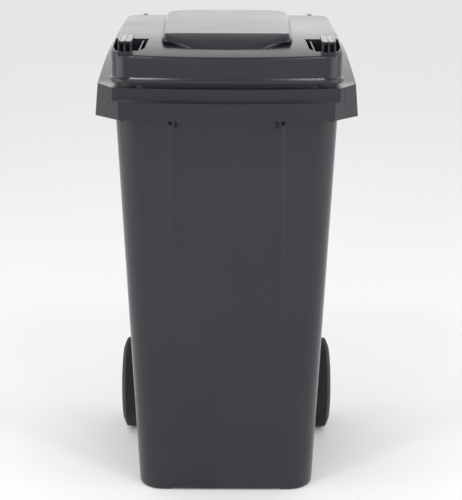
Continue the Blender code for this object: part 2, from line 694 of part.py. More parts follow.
def locking_pin():
    """The stepped pin whose tip sits in the axle's groove."""
    stem = 0.0018
    profile = [(LOCK_TIP_Z, LOCK_TIP_RADIUS - 0.0006), (LOCK_TIP_Z + 0.001, LOCK_TIP_RADIUS),
               (LOCK_STEP_Z, LOCK_TIP_RADIUS), (LOCK_STEP_Z, LOCK_BODY_RADIUS),
               (LOCK_BODY_TOP_Z, LOCK_BODY_RADIUS), (LOCK_BODY_TOP_Z, stem), (LOCK_BODY_TOP_Z + 0.006, stem)]
    return turned("pin", profile, "Z", segments=16)


def spring_plug():
    """The plug that holds the spring in its housing."""
    low = LOCK_SPRING_TOP_Z + GAP
    return turned("plug", [(low, LOCK_BODY_RADIUS), (LOCK_PLUG_TOP_Z, LOCK_BODY_RADIUS)], "Z", segments=16)


def locking_spring():
    """A coil of round wire under the plug, drawn as short as the lifted pin makes it."""
    low = LOCK_BODY_TOP_Z + LOCK_TRAVEL + GAP + SPRING_WIRE
    high = LOCK_SPRING_TOP_Z - SPRING_WIRE
    steps, sides = SPRING_TURNS * 12, 5
    corners = []
    for k in range(steps + 1):
        turn = 2 * math.pi * SPRING_TURNS * k / steps
        out = Vector((math.cos(turn), math.sin(turn), 0.0))
        centre = out * SPRING_RADIUS + Vector((0.0, 0.0, mix(low, high, k / steps)))
        for side in range(sides):
            angle = 2 * math.pi * side / sides
            corners.append(centre + out * SPRING_WIRE * math.cos(angle)
                           + Vector((0.0, 0.0, SPRING_WIRE * math.sin(angle))))
    faces = [tuple(range(sides)), tuple(range(steps * sides, (steps + 1) * sides))]
    for k in range(steps):
        low_row, high_row = k * sides, (k + 1) * sides
        faces += [(low_row + s, low_row + (s + 1) % sides, high_row + (s + 1) % sides, high_row + s)
                  for s in range(sides)]
    return solid("spring", corners, faces)


def make_wheel(word, side, materials):
    """One wheel, its pieces parented to an empty at the wheel's centre with +X facing outwards."""
    centre = bpy.data.objects.new(f"wheel_centre_{word}", None)
    bpy.context.scene.collection.objects.link(centre)
    centre.location = (side * WHEEL_X, AXLE_Y, WHEEL_RADIUS)
    centre.rotation_euler.z = 0.0 if side > 0 else math.pi
    pieces = (("wheel_rim", wheel_rim, "hub"), ("tyre", tyre, "rubber"), ("hub_cap", hub_cap, "hub"),
              ("locking_pin", locking_pin, "steel"), ("locking_spring", locking_spring, "steel"),
              ("spring_plug", spring_plug, "hub"))
    for name, shape, slot in pieces:
        finish(shape(), f"{name}_{word}", materials[slot]).parent = centre


def main():
    clear_scene()
    materials = {
        "plastic": material("grey_plastic", (0.055, 0.055, 0.062), 0.38),
        "hub": material("black_plastic", (0.020, 0.020, 0.021), 0.45),
        "rubber": material("tyre_rubber", (0.022, 0.022, 0.022), 0.8),
        "steel": material("zinc_steel", (0.55, 0.56, 0.58), 0.35, 1.0),
    }
    make_body(materials["plastic"])
    make_lid(materials["plastic"])
    make_axle(materials["steel"])
    for word, side in SIDES:
        make_hinge_pin(word, side, materials["plastic"])
        make_spacer(word, side, materials["hub"])
        make_wheel(word, side, materials)


main()
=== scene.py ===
"""Looks of the wheeled refuse bin: its detailed pieces, their materials, the studio and the camera.

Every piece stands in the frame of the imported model, in metres: +Z up, the front towards -Y and
the wheels and the handle at +Y.
"""

import math

import bmesh
import bpy
from bpy.props import FloatProperty, FloatVectorProperty, IntProperty, PointerProperty
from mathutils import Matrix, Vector


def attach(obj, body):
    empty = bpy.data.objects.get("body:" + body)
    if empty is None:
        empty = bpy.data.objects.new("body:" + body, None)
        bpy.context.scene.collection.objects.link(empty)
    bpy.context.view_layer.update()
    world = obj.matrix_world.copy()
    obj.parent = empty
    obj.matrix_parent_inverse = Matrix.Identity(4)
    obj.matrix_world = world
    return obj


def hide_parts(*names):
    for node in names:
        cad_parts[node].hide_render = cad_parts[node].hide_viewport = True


bl_info = {
    "name": "Wheeled refuse bin",
    "version": (1, 0, 0),
    "blender": (4, 5, 0),
    "location": "View3D > Sidebar > Bin",
    "description": "Builds the looks of a two-wheeled refuse bin on its packed frame",
    "category": "Add Mesh",
}

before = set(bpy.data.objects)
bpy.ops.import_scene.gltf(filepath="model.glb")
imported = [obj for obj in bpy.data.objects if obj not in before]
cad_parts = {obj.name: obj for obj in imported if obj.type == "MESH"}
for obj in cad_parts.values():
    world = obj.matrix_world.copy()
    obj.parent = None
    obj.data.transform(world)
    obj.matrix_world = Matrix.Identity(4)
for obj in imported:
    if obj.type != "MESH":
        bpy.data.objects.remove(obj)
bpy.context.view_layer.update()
SIDES = (("left", -1), ("right", 1))

# Heights and plan sizes of the tub
NECK_Z = 0.79
FOOT = {"width": 0.1765, "front": -0.164, "rear": 0.148, "corner": 0.050}
NECK = {"width": 0.2060, "front": -0.241, "rear": 0.183, "corner": 0.058}
REAR_CORNER = 0.045
FRONT_BOW = 0.012
PANEL_FOOT_HALF_WIDTH = 0.1077
PANEL_NECK_HALF_WIDTH = 0.098
PANEL_DEPTH = 0.007
PANEL_EDGE = 0.011
TUB_WALL = 0.004
UPSTAND = 0.008
SKID_HALF_GAP = 0.112
SKID_HEIGHT = 0.004
BASE_ROUNDING = 0.005

# The rim
RIM_FRONT_Y = -0.275
RIM_LOW_Z = 0.7784
RIM_LEDGE_Z = 0.8103
RIM_LEDGE_DEPTH = 0.0156
RIM_FRONT_TOP_Z = 0.8335
RIM_RISE = 0.034
RIM_BOW = 0.0154
RIM_CORNER = (0.194, -0.2596)
RIM_SIDE = (0.2415, -0.1924)
RIM_TOP_HALF_WIDTH = 0.2361
RIM_REAR = (0.196, 0.192)
RIM_SIDE_DROP = 0.0595
RIM_WALL = 0.0035
FRONT_WEB_X = 0.0925

# The lid
LID_HALF_WIDTH = 0.209
LID_FRONT_Y = -0.262
LID_REAR_Y = 0.2025
LID_TOP_Z = 0.914
LID_TAIL_RISE = 0.003
LID_NOSE_DROP = 0.0245
LID_EDGE_RADIUS = 0.0045
LID_CREST_Y = 0.10
LID_CORNER = 0.045
LID_REAR_CORNER = 0.03
LID_WALL = 0.003
PLATEAU_HALF_WIDTH = 0.1135
PLATEAU_FOOT_HALF_WIDTH = 0.122
PLATEAU_TAIL_SPREAD = 0.006
PLATEAU_FRONT = (-0.165, 0.9225)
PLATEAU_FOOT_FRONT_Y = -0.2205
PLATEAU_REAR_Y = 0.165
PLATEAU_FOOT_REAR_Y = 0.183
PLATEAU_SLOPE = 0.0257
POCKET_FLOOR_Z = 0.872
GRIP_X = 0.181
GRIP_TAIL_SHIFT = 0.006
GRIP_WIDTH = 0.025
GRIP_REAR_Y = -0.096
GRIP_FRONT_Y = -0.243
GRIP_TOP_Z = 0.9138
GRIP_BEND_RADIUS = 0.018
GRIP_RIB_WIDTH = 0.0030

# The hinge, the axle and the wheels
HINGE = (0.253, 0.892)
INNER_LUG_RADIUS = 0.018
OUTER_LUG_RADIUS = 0.022
AXLE = (0.172, 0.1)
WHEEL_X = 0.209
TYRE_RADIUS = 0.1
WELL_X = 0.168
WELL_RADIUS = 0.112


# ---------------------------------------------------------------- settings

class BinPlasticSettings(bpy.types.PropertyGroup):
    """The moulded plastic of the tub and the lid."""
    colour: FloatVectorProperty(name="Colour", description="Pigment of the tub and lid", subtype="COLOR",
                                size=3, min=0.0, max=1.0, default=(0.0145, 0.0135, 0.0190))
    roughness: FloatProperty(name="Roughness", description="Gloss of the moulded skin",
                             subtype="FACTOR", min=0.0, max=1.0, default=0.17)
    grain: FloatProperty(name="Grain", description="Depth of the fine texture of the mould",
                         subtype="FACTOR", min=0.0, max=1.0, default=0.10)
    edge: FloatProperty(name="Edge radius", description="Rounding of the rim's edges",
                        unit="LENGTH", min=0.0002, max=0.004, default=0.0016)


class WheelSettings(bpy.types.PropertyGroup):
    """The wheels and their tyres."""
    ribs: IntProperty(name="Tread ribs", description="Fine ribs that run round each tyre's tread",
                      min=3, max=24, default=9)
    rib_depth: FloatProperty(name="Rib depth", description="Depth of the grooves between the tread ribs",
                             unit="LENGTH", min=0.0, max=0.003, default=0.0011)
    spokes: IntProperty(name="Spokes", description="Stiffening ribs on each wheel's outer face",
                        min=3, max=12, default=6)


class StudioSettings(bpy.types.PropertyGroup):
    """The floor, the lights and the camera."""
    key: FloatProperty(name="Key", description="Power of each small high light, in watts",
                       min=0.0, max=100.0, default=11.0)
    strip: FloatProperty(name="Strip", description="Power of each upright strip in front, in watts",
                         min=0.0, max=200.0, default=10.0)
    box: FloatProperty(name="Box", description="Power of each large light at the side, in watts",
                       min=0.0, max=200.0, default=24.0)
    room: FloatProperty(name="Room", description="Brightness of the room around the bin",
                        min=0.0, max=4.0, default=1.17)
    ceiling: FloatProperty(name="Ceiling", description="How bright the room's ceiling is beside its walls",
                           min=0.0, max=1.0, default=0.34)
    band: FloatProperty(name="Band", description="Brightness of the wall low down behind the bin",
                        min=0.0, max=8.0, default=1.43)
    floor: FloatVectorProperty(name="Floor", description="Colour of the floor", subtype="COLOR",
                               size=3, min=0.0, max=1.0, default=(0.95, 0.95, 0.945))
    distance: FloatProperty(name="Camera distance",
                            description="How far the lens stands in front of the bin",
                            unit="LENGTH", min=1.0, max=6.0, default=2.520)
    aside: FloatProperty(name="Camera aside", description="How far the lens stands to the right of the middle",
                         unit="LENGTH", min=-1.0, max=1.0, default=0.0063)
    height: FloatProperty(name="Camera height", description="Height of the lens above the floor",
                          unit="LENGTH", min=0.2, max=3.0, default=1.2027)
    pitch: FloatProperty(name="Camera pitch", description="How far the lens looks down",
                         unit="ROTATION", min=0.0, max=1.5, default=math.radians(16.41))
    roll: FloatProperty(name="Camera roll", description="How far the camera leans to one side",
                        unit="ROTATION", min=-0.5, max=0.5, default=-0.0038)
    lens: FloatProperty(name="Focal length", description="Focal length on a 36 mm sensor, in millimetres",
                        min=20.0, max=200.0, default=92.08)


# ---------------------------------------------------------------- working in edit mode

def activate(item):
    bpy.ops.object.select_all(action="DESELECT")
    item.select_set(True)
    bpy.context.view_layer.objects.active = item


def choose(kind, test):
    """Selects, in edit mode, only the verts, edges or faces that pass the test."""
    bpy.ops.mesh.select_all(action="DESELECT")
    bpy.ops.mesh.select_mode(type={"verts": "VERT", "edges": "EDGE", "faces": "FACE"}[kind])
    mesh = bpy.context.edit_object.data
    work = bmesh.from_edit_mesh(mesh)
    for element in getattr(work, kind):
        element.select_set(test(element))
    bmesh.update_edit_mesh(mesh)


def start_outline(name, ring, filled=True):
    """A flat outline with one corner for each point of the ring, left selected in edit mode."""
    bpy.ops.object.select_all(action="DESELECT")
    fill = "NGON" if filled else "NOTHING"
    bpy.ops.mesh.primitive_circle_add(vertices=len(ring), radius=1.0, fill_type=fill)
    item = bpy.context.object
    item.name = name
    for corner, place in zip(item.data.vertices, ring):
        corner.co = place
    bpy.ops.object.mode_set(mode="EDIT")
    bpy.ops.mesh.select_mode(type="FACE" if filled else "EDGE")
    bpy.ops.mesh.select_all(action="SELECT")
    return item


def pull_to(item, ring, order):
    """Extrudes the selected face and puts each new corner at its point of the ring."""
    bpy.ops.mesh.extrude_region_move()
    work = bmesh.from_edit_mesh(item.data)
    work.verts.index_update()
    place_of = {index: k for k, index in enumerate(order)}
    new_order = [0] * len(order)
    for vert in [v for v in work.verts if v.select]:
        below = next(e.other_vert(vert) for e in vert.link_edges if not e.other_vert(vert).select)
        k = place_of[below.index]
        vert.co = ring[k]
        new_order[k] = vert.index
    bmesh.update_edit_mesh(item.data)
    return new_order


def drawn_up(name, rings):
    """A closed solid pulled up through rings of equal count from its first, filled ring."""
    item = start_outline(name, rings[0])
    order = list(range(len(rings[0])))
    for ring in rings[1:]:
        order = pull_to(item, ring, order)
    bpy.ops.mesh.select_all(action="SELECT")
    bpy.ops.mesh.normals_make_consistent(inside=False)
    bpy.ops.object.mode_set(mode="OBJECT")
    return item, order


def strip_cap(item, order):
    """Splits a bowed end face into strips that run straight across from right to left."""
    activate(item)
    bpy.ops.object.mode_set(mode="EDIT")
    count = len(order)
    for k in range(1, (count - 1) // 2 + 1):
        pair = {order[k], order[count - k]}
        choose("verts", lambda v: v.index in pair)
        bpy.ops.mesh.vert_connect()
    bpy.ops.object.mode_set(mode="OBJECT")


def slab(name, outline, low, high, axis):
    """A plate of a flat outline between two places along an axis: X takes (y, z), Z takes (x, y)."""
    def at(along):
        return [Vector((along, *p)) if axis == "X" else Vector((*p, along)) for p in outline]
    return drawn_up(name, [at(low), at(high)])[0]


def turned(name, profile, centre, steps, closed):
    """A turned piece from (x, radius) points, spun about a line along X through the centre (y, z).
    A closed profile makes a ring; an open one starts and ends on the line."""
    ring = [Vector((x, centre[0], centre[1] + r)) for x, r in profile]
    item = start_outline(name, ring, filled=False)
    if not closed:
        ends = {0, len(ring) - 1}
        choose("edges", lambda e: {v.index for v in e.verts} == ends)
        bpy.ops.mesh.delete(type="EDGE")
        bpy.ops.mesh.select_all(action="SELECT")
    bpy.ops.mesh.spin(steps=steps, angle=2 * math.pi, center=(0.0, *centre), axis=(1.0, 0.0, 0.0))
    bpy.ops.mesh.select_all(action="SELECT")
    bpy.ops.mesh.remove_doubles(threshold=0.00002)
    bpy.ops.mesh.dissolve_degenerate(threshold=0.00001)
    bpy.ops.mesh.normals_make_consistent(inside=False)
    bpy.ops.object.mode_set(mode="OBJECT")
    return item


def modify(item, kind, **values):
    """Adds a modifier with the given values and applies it."""
    step = item.modifiers.new(kind.title(), kind)
    for key, value in values.items():
        setattr(step, key, value)
    activate(item)
    bpy.ops.object.modifier_apply(modifier=step.name)
    return item


def combine(item, tool, operation):
    modify(item, "BOOLEAN", object=tool, operation=operation, solver="EXACT")
    bpy.data.objects.remove(tool)
    return item


def round_edges(item, radius, segments=3, angle=32):
    return modify(item, "BEVEL", width=radius, segments=segments, limit_method="ANGLE",
                  angle_limit=math.radians(angle), use_clamp_overlap=True, harden_normals=False)


def hollow_out(item, is_mouth, thickness):
    """Opens a solid at its mouth and gives the shell that is left an inner wall."""
    activate(item)
    bpy.ops.object.mode_set(mode="EDIT")
    choose("faces", is_mouth)
    bpy.ops.mesh.delete(type="FACE")
    bpy.ops.object.mode_set(mode="OBJECT")
    return modify(item, "SOLIDIFY", thickness=thickness, offset=-1.0, use_even_offset=True)


def weld_together(name, pieces):
    """Joins several pieces of one moulding into one object."""
    bpy.ops.object.select_all(action="DESELECT")
    for piece in pieces:
        piece.select_set(True)
    bpy.context.view_layer.objects.active = pieces[0]
    bpy.ops.object.join()
    pieces[0].name = name
    return pieces[0]


def complete(item, name, finish, body, nodes, angle=32.0):
    """Shades a finished piece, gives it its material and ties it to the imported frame."""
    activate(item)
    bpy.ops.object.transform_apply(location=True, rotation=True, scale=True)
    bpy.ops.object.shade_smooth_by_angle(angle=math.radians(angle))
    modify(item, "WEIGHTED_NORMAL", keep_sharp=True)
    item.name = name
    item.data.name = name
    item.data.materials.clear()
    item.data.materials.append(finish)
    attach(item, body)
    if nodes:
        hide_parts(*nodes)
    return item


# ---------------------------------------------------------------- curves of the mouldings

def mix(low, high, share):
    return low + (high - low) * share


def ease(share):
    held = min(max(share, 0.0), 1.0)
    return held * held * (3.0 - 2.0 * held)


def arc(centre_x, centre_y, radius, start, end, steps):
    """Points on an arc, both ends included, with angles in degrees."""
    turns = [math.radians(mix(start, end, k / steps)) for k in range(steps + 1)]
    return [(centre_x + radius * math.cos(a), centre_y + radius * math.sin(a)) for a in turns]


def full_ring(right_half, height):
    """A whole ring from its right half, whose first point lies on the centre plane."""
    left = [(-x, y) for x, y in reversed(right_half[1:])]
    level = height if callable(height) else (lambda x, y: height)
    return [Vector((x, y, level(x, y))) for x, y in right_half + left]


def rim_top(y):
    """Height of the rim's top face: level at the front, then rising towards the hinge."""
    share = min(max((y + 0.20) / 0.36, 0.0), 1.0)
    return RIM_FRONT_TOP_Z + RIM_RISE * math.sin(share * math.pi / 2)


def lid_top(y):
    """Height of the lid's top face: it rises a little to the rear, and its nose falls away at the front."""
    reach = max(LID_CREST_Y - y, 0.0) / (LID_CREST_Y - LID_FRONT_Y)
    tail = max(y, 0.0) / LID_REAR_Y
    return LID_TOP_Z + LID_TAIL_RISE * tail - LID_NOSE_DROP * reach ** 4


def lid_lip(y):
    share = (y - LID_FRONT_Y) / (LID_REAR_Y - LID_FRONT_Y)
    return rim_top(y) + mix(0.0105, 0.004, share)


def plateau_top(y):
    return PLATEAU_FRONT[1] + PLATEAU_SLOPE * (y - PLATEAU_FRONT[0])


def tub_half(z, inset=0.0):
    """Right half of the tub's plan at height z, with the shallow panel pressed into its front."""
    share = min(z / NECK_Z, 1.0)
    size = {key: mix(FOOT[key], NECK[key], share) for key in FOOT}
    width, front, rear = size["width"] - inset, size["front"] + inset, size["rear"] - inset
    corner, tail = size["corner"] - inset, REAR_CORNER - inset
    panel_edge = mix(PANEL_FOOT_HALF_WIDTH, PANEL_NECK_HALF_WIDTH, share)
    depth = PANEL_DEPTH * ease((z - 0.16) / 0.30) * (1.0 - ease((z - 0.768) / 0.016))
    bow = mix(0.25, 1.0, share) * FRONT_BOW

    def front_at(x):
        pressed = depth * (1.0 - ease((x - panel_edge) / PANEL_EDGE))
        return front + bow * (x / width) ** 2 + pressed
    stations = [0.0, 0.03, 0.06, 0.08, panel_edge - 0.004]
    stations += [panel_edge + PANEL_EDGE * k / 6 for k in range(7)] + [panel_edge + 0.014]
    half = [(x, front_at(x)) for x in stations]
    start_x = width - corner
    half += arc(start_x, front_at(start_x) + corner, corner, -90, 0, 14)
    half += [(width, mix(front_at(start_x) + corner, rear - tail, k / 4)) for k in range(1, 4)]
    return half + arc(width - tail, rear - tail, tail, 0, 90, 10)


def rim_half(inset, half_width):
    """Right half of the rim's plan, with its chamfered front corner."""
    front = RIM_FRONT_Y + inset

    def front_at(x):
        return front + RIM_BOW * (x / RIM_CORNER[0]) ** 2
    inner_x = RIM_CORNER[0] - inset * 0.55
    side = half_width - inset
    half = [(inner_x * k / 8, front_at(inner_x * k / 8)) for k in range(9)]
    half += [(side, RIM_SIDE[1] + inset * 0.5)]
    half += [(side, mix(-0.175, 0.134, k / 14)) for k in range(15)]
    half += arc(side - 0.012, 0.140, 0.012, 0, 60, 4)
    corner_x, corner_y = RIM_REAR[0], RIM_REAR[1] - inset
    corner = [(corner_x + 0.006, corner_y - 0.009), (corner_x, corner_y - 0.002), (corner_x - 0.008, corner_y)]
    return half + corner


def lid_half(inset, outset=0.0):
    """Right half of the lid's plan, with stations along its sides where its top curves."""
    width = LID_HALF_WIDTH - inset + outset
    front = LID_FRONT_Y + inset - outset
    rear = LID_REAR_Y - inset
    corner, tail = LID_CORNER - inset + outset, LID_REAR_CORNER - inset
    start_x = width - corner

    def front_at(x):
        return front + 0.010 * (x / start_x) ** 2
    half = [(start_x * k / 8, front_at(start_x * k / 8)) for k in range(8)]
    half += arc(start_x, front_at(start_x) + corner, corner, -90, 0, 14)
    half += [(width, mix(-0.195, 0.155, k / 16)) for k in range(17)]
    return half + arc(width - tail, rear - tail, tail, 0, 90, 9)


def plateau_half(half_width, front, rear, nose_power):
    """Right half of the plateau's plan: two quarter superellipses joined by straight sides
    that spread a little towards the rear."""
    nose_y, tail_y, tail_power, steps = -0.14, 0.10, 4.0, 16

    def quarter(angle, power):
        return math.sin(angle) ** (2 / power), math.cos(angle) ** (2 / power)
    half = []
    for k in range(steps + 1):
        across, along = quarter(math.pi / 2 * k / steps, nose_power)
        half.append((half_width * across, nose_y + (front - nose_y) * along))
    for k in range(steps):
        along, across = quarter(math.pi / 2 * k / steps, tail_power)
        half.append(((half_width + PLATEAU_TAIL_SPREAD) * across, tail_y + (rear - tail_y) * along))
    return half


# ---------------------------------------------------------------- materials

def node(tree, kind, **sockets):
    """A shader node with values on its sockets; spaces in socket names are written as underscores."""
    made = tree.nodes.new(kind)
    for key, value in sockets.items():
        made.inputs[key.replace("_", " ")].default_value = value
    return made


def new_group(name, inputs, outputs):
    """A node group with named float inputs (name, default) and named outputs (name, kind)."""
    group = bpy.data.node_groups.new(name, "ShaderNodeTree")
    for title, default in inputs:
        socket = group.interface.new_socket(name=title, in_out="INPUT", socket_type="NodeSocketFloat")
        socket.default_value = default
    for title, kind in outputs:
        group.interface.new_socket(name=title, in_out="OUTPUT", socket_type=kind)
    return group, group.nodes.new("NodeGroupInput"), group.nodes.new("NodeGroupOutput")


def sockets(made, name):
    """The socket of a Mix node by its name, past the hidden ones of its other data types."""
    return next(s for s in made if s.name == name and s.enabled)


def math_node(tree, operation, first, second):
    made = tree.nodes.new("ShaderNodeMath")
    made.operation = operation
    for socket, value in zip(made.inputs, (first, second)):
        if isinstance(value, (int, float)):
            socket.default_value = value
        else:
            tree.links.new(value, socket)
    return made.outputs[0]


def mapped(tree, source, low, high, out_low=0.0, out_high=1.0):
    """Maps a value from low..high to out_low..out_high, held at both ends."""
    made = node(tree, "ShaderNodeMapRange", From_Min=low, From_Max=high, To_Min=out_low, To_Max=out_high)
    tree.links.new(source, made.inputs["Value"])
    return made.outputs["Result"]


def noise(tree, place, scale, detail=3.0, roughness=0.5):
    made = node(tree, "ShaderNodeTexNoise", Scale=scale, Detail=detail, Roughness=roughness)
    tree.links.new(place, made.inputs["Vector"])
    return made.outputs["Fac"]


def mould_grain_group():
    """Fine spark-eroded texture of a mould, with the slow ripple of a large moulding under it."""
    group, entry, leave = new_group("Mould grain", [("Grain scale", 900.0), ("Ripple scale", 7.0)],
                                    [("Grain", "NodeSocketFloat"), ("Ripple", "NodeSocketFloat")])
    place = group.nodes.new("ShaderNodeTexCoord").outputs["Object"]
    fine = node(group, "ShaderNodeTexNoise", Detail=2.0, Roughness=0.6)
    slow = node(group, "ShaderNodeTexNoise", Detail=3.0, Roughness=0.45)
    for made, title in ((fine, "Grain scale"), (slow, "Ripple scale")):
        group.links.new(place, made.inputs["Vector"])
        group.links.new(entry.outputs[title], made.inputs["Scale"])
    group.links.new(fine.outputs["Fac"], leave.inputs["Grain"])
    group.links.new(slow.outputs["Fac"], leave.inputs["Ripple"])
    return group


def edge_wear_group():
    """A mask that is high on the edges that hands and kerbs rub."""
    group, entry, leave = new_group("Edge wear", [("Amount", 1.0)], [("Mask", "NodeSocketFloat")])
    place = group.nodes.new("ShaderNodeTexCoord").outputs["Object"]
    edges = mapped(group, group.nodes.new("ShaderNodeNewGeometry").outputs["Pointiness"], 0.52, 0.60)
    patches = mapped(group, noise(group, place, 60.0, 5.0, 0.65), 0.42, 0.66)
    rubbed = math_node(group, "MULTIPLY", edges, patches)
    group.links.new(math_node(group, "MULTIPLY", rubbed, entry.outputs["Amount"]), leave.inputs["Mask"])
    return group


def dust_group():
    """A thin film of dust that settles on faces that look up and gathers near the ground."""
    group, entry, leave = new_group("Dust", [("Settled", 0.3), ("Splashed", 0.3), ("Splash height", 0.12)],
                                    [("Mask", "NodeSocketFloat")])
    place = group.nodes.new("ShaderNodeTexCoord").outputs["Object"]
    split_normal = group.nodes.new("ShaderNodeSeparateXYZ")
    group.links.new(group.nodes.new("ShaderNodeNewGeometry").outputs["Normal"], split_normal.inputs[0])
    split_place = group.nodes.new("ShaderNodeSeparateXYZ")
    group.links.new(place, split_place.inputs[0])
    cloud = mapped(group, noise(group, place, 14.0, 6.0, 0.6), 0.35, 0.75)
    upward = mapped(group, split_normal.outputs["Z"], 0.5, 1.0)
    fallen = math_node(group, "MULTIPLY", upward, entry.outputs["Settled"])
    height = math_node(group, "DIVIDE", split_place.outputs["Z"], entry.outputs["Splash height"])
    splashed = math_node(group, "MULTIPLY", mapped(group, height, 1.0, 0.0), entry.outputs["Splashed"])
    both = math_node(group, "MULTIPLY", math_node(group, "ADD", fallen, splashed), cloud)
    group.links.new(both, leave.inputs["Mask"])
    return group


def place_group(tree, name, **values):
    made = tree.nodes.new("ShaderNodeGroup")
    made.node_tree = bpy.data.node_groups[name]
    for key, value in values.items():
        made.inputs[key.replace("_", " ")].default_value = value
    return made


def tinted(tree, base, tint, mask):
    """Mixes a second colour over the first by a mask."""
    made = tree.nodes.new("ShaderNodeMix")
    made.data_type = "RGBA"
    if isinstance(base, tuple):
        sockets(made.inputs, "A").default_value = (*base, 1.0)
    else:
        tree.links.new(base, sockets(made.inputs, "A"))
    sockets(made.inputs, "B").default_value = (*tint, 1.0)
    tree.links.new(mask, made.inputs["Factor"])
    return sockets(made.outputs, "Result")


def clouded(tree, grain, dark, light):
    """A pigment that drifts between two tones with the slow ripple of the moulding."""
    return tinted(tree, dark, light, mapped(tree, grain.outputs["Ripple"], 0.35, 0.7))


def bumped(tree, shader, height, strength, distance):
    bump = node(tree, "ShaderNodeBump", Strength=strength, Distance=distance)
    tree.links.new(height, bump.inputs["Height"])
    tree.links.new(bump.outputs["Normal"], shader.inputs["Normal"])


def start_material(name):
    made = bpy.data.materials.new(name)
    made.use_nodes = True
    return made, made.node_tree, made.node_tree.nodes["Principled BSDF"]


def bin_plastic(settings):
    """Grey moulded polyethylene: fine grain, soft ripple and a trace of dust."""
    made, tree, shader = start_material("Grey polyethylene")
    colour = tuple(settings.colour)
    grain = place_group(tree, "Mould grain", Grain_scale=1100.0, Ripple_scale=5.0)
    dust = place_group(tree, "Dust", Settled=0.02, Splashed=0.04, Splash_height=0.10)
    cloudy = clouded(tree, grain, colour, tuple(c * 1.16 for c in colour))
    dusty = tinted(tree, cloudy, (0.30, 0.29, 0.27), dust.outputs["Mask"])
    tree.links.new(dusty, shader.inputs["Base Color"])
    smooth, rough = settings.roughness - 0.03, settings.roughness + 0.04
    spread = mapped(tree, grain.outputs["Ripple"], 0.3, 0.7, smooth, rough)
    speckle = math_node(tree, "MULTIPLY", grain.outputs["Grain"], 0.08)
    tree.links.new(math_node(tree, "ADD", spread, speckle), shader.inputs["Roughness"])
    ripple = math_node(tree, "MULTIPLY", grain.outputs["Ripple"], 3.0)
    bumped(tree, shader, math_node(tree, "ADD", grain.outputs["Grain"], ripple), settings.grain, 0.0006)
    shader.inputs["IOR"].default_value = 1.44
    return made


def black_plastic():
    """Black moulded plastic of the wheel centres, spacers and caps."""
    made, tree, shader = start_material("Black moulded plastic")
    grain = place_group(tree, "Mould grain", Grain_scale=1500.0, Ripple_scale=16.0)
    wear = place_group(tree, "Edge wear", Amount=0.3)
    dust = place_group(tree, "Dust", Settled=0.3, Splashed=0.35, Splash_height=0.2)
    cloudy = clouded(tree, grain, (0.014, 0.014, 0.015), (0.022, 0.022, 0.023))
    worn = tinted(tree, cloudy, (0.10, 0.10, 0.10), wear.outputs["Mask"])
    dusty = tinted(tree, worn, (0.20, 0.19, 0.175), dust.outputs["Mask"])
    tree.links.new(dusty, shader.inputs["Base Color"])
    tree.links.new(mapped(tree, grain.outputs["Ripple"], 0.3, 0.7, 0.36, 0.50), shader.inputs["Roughness"])
    bumped(tree, shader, grain.outputs["Grain"], 0.12, 0.0005)
    return made


def tyre_rubber():
    """Matt black rubber, scuffed grey where it meets the ground."""
    made, tree, shader = start_material("Tyre rubber")
    grain = place_group(tree, "Mould grain", Grain_scale=700.0, Ripple_scale=28.0)
    wear = place_group(tree, "Edge wear", Amount=0.4)
    dust = place_group(tree, "Dust", Settled=0.15, Splashed=0.45, Splash_height=0.16)
    cloudy = clouded(tree, grain, (0.011, 0.011, 0.011), (0.020, 0.020, 0.020))
    worn = tinted(tree, cloudy, (0.050, 0.049, 0.047), wear.outputs["Mask"])
    dusty = tinted(tree, worn, (0.13, 0.12, 0.11), dust.outputs["Mask"])
    tree.links.new(dusty, shader.inputs["Base Color"])
    tree.links.new(mapped(tree, grain.outputs["Ripple"], 0.3, 0.7, 0.68, 0.86), shader.inputs["Roughness"])
    bumped(tree, shader, grain.outputs["Grain"], 0.35, 0.0006)
    return made


def zinc_steel():
    """Zinc-plated steel with fine marks that run round the bar and a dull bloom."""
    made, tree, shader = start_material("Zinc plated steel")
    place = tree.nodes.new("ShaderNodeTexCoord").outputs["Object"]
    stretch = node(tree, "ShaderNodeMapping", Scale=(900.0, 12.0, 12.0))
    tree.links.new(place, stretch.inputs["Vector"])
    lines = noise(tree, stretch.outputs["Vector"], 1.0, 3.0, 0.6)
    bloom = mapped(tree, noise(tree, place, 45.0, 5.0, 0.6), 0.4, 0.7)
    tree.links.new(tinted(tree, (0.58, 0.59, 0.60), (0.38, 0.37, 0.36), bloom), shader.inputs["Base Color"])
    shader.inputs["Metallic"].default_value = 1.0
    tree.links.new(mapped(tree, bloom, 0.0, 1.0, 0.28, 0.5), shader.inputs["Roughness"])
    bumped(tree, shader, lines, 0.12, 0.0003)
    return made


def studio_paper(settings):
    """Matt pale paper of the floor."""
    made, tree, shader = start_material("Studio paper")
    place = tree.nodes.new("ShaderNodeTexCoord").outputs["Object"]
    tone = tuple(settings.floor)
    marks = tinted(tree, tone, tuple(c * 0.985 for c in tone), noise(tree, place, 0.8))
    tree.links.new(marks, shader.inputs["Base Color"])
    shader.inputs["Roughness"].default_value = 0.9
    return made


# ---------------------------------------------------------------- pieces

def axle_well(side):
    """The round space beside the tub's foot that a wheel turns in."""
    start, end, chamfer = side * WELL_X, side * 0.25, 0.006
    profile = [(start, 0.0), (start, WELL_RADIUS - chamfer), (start + side * chamfer, WELL_RADIUS),
               (end, WELL_RADIUS), (end, 0.0)]
    return turned("well", profile, AXLE, 72, closed=False)


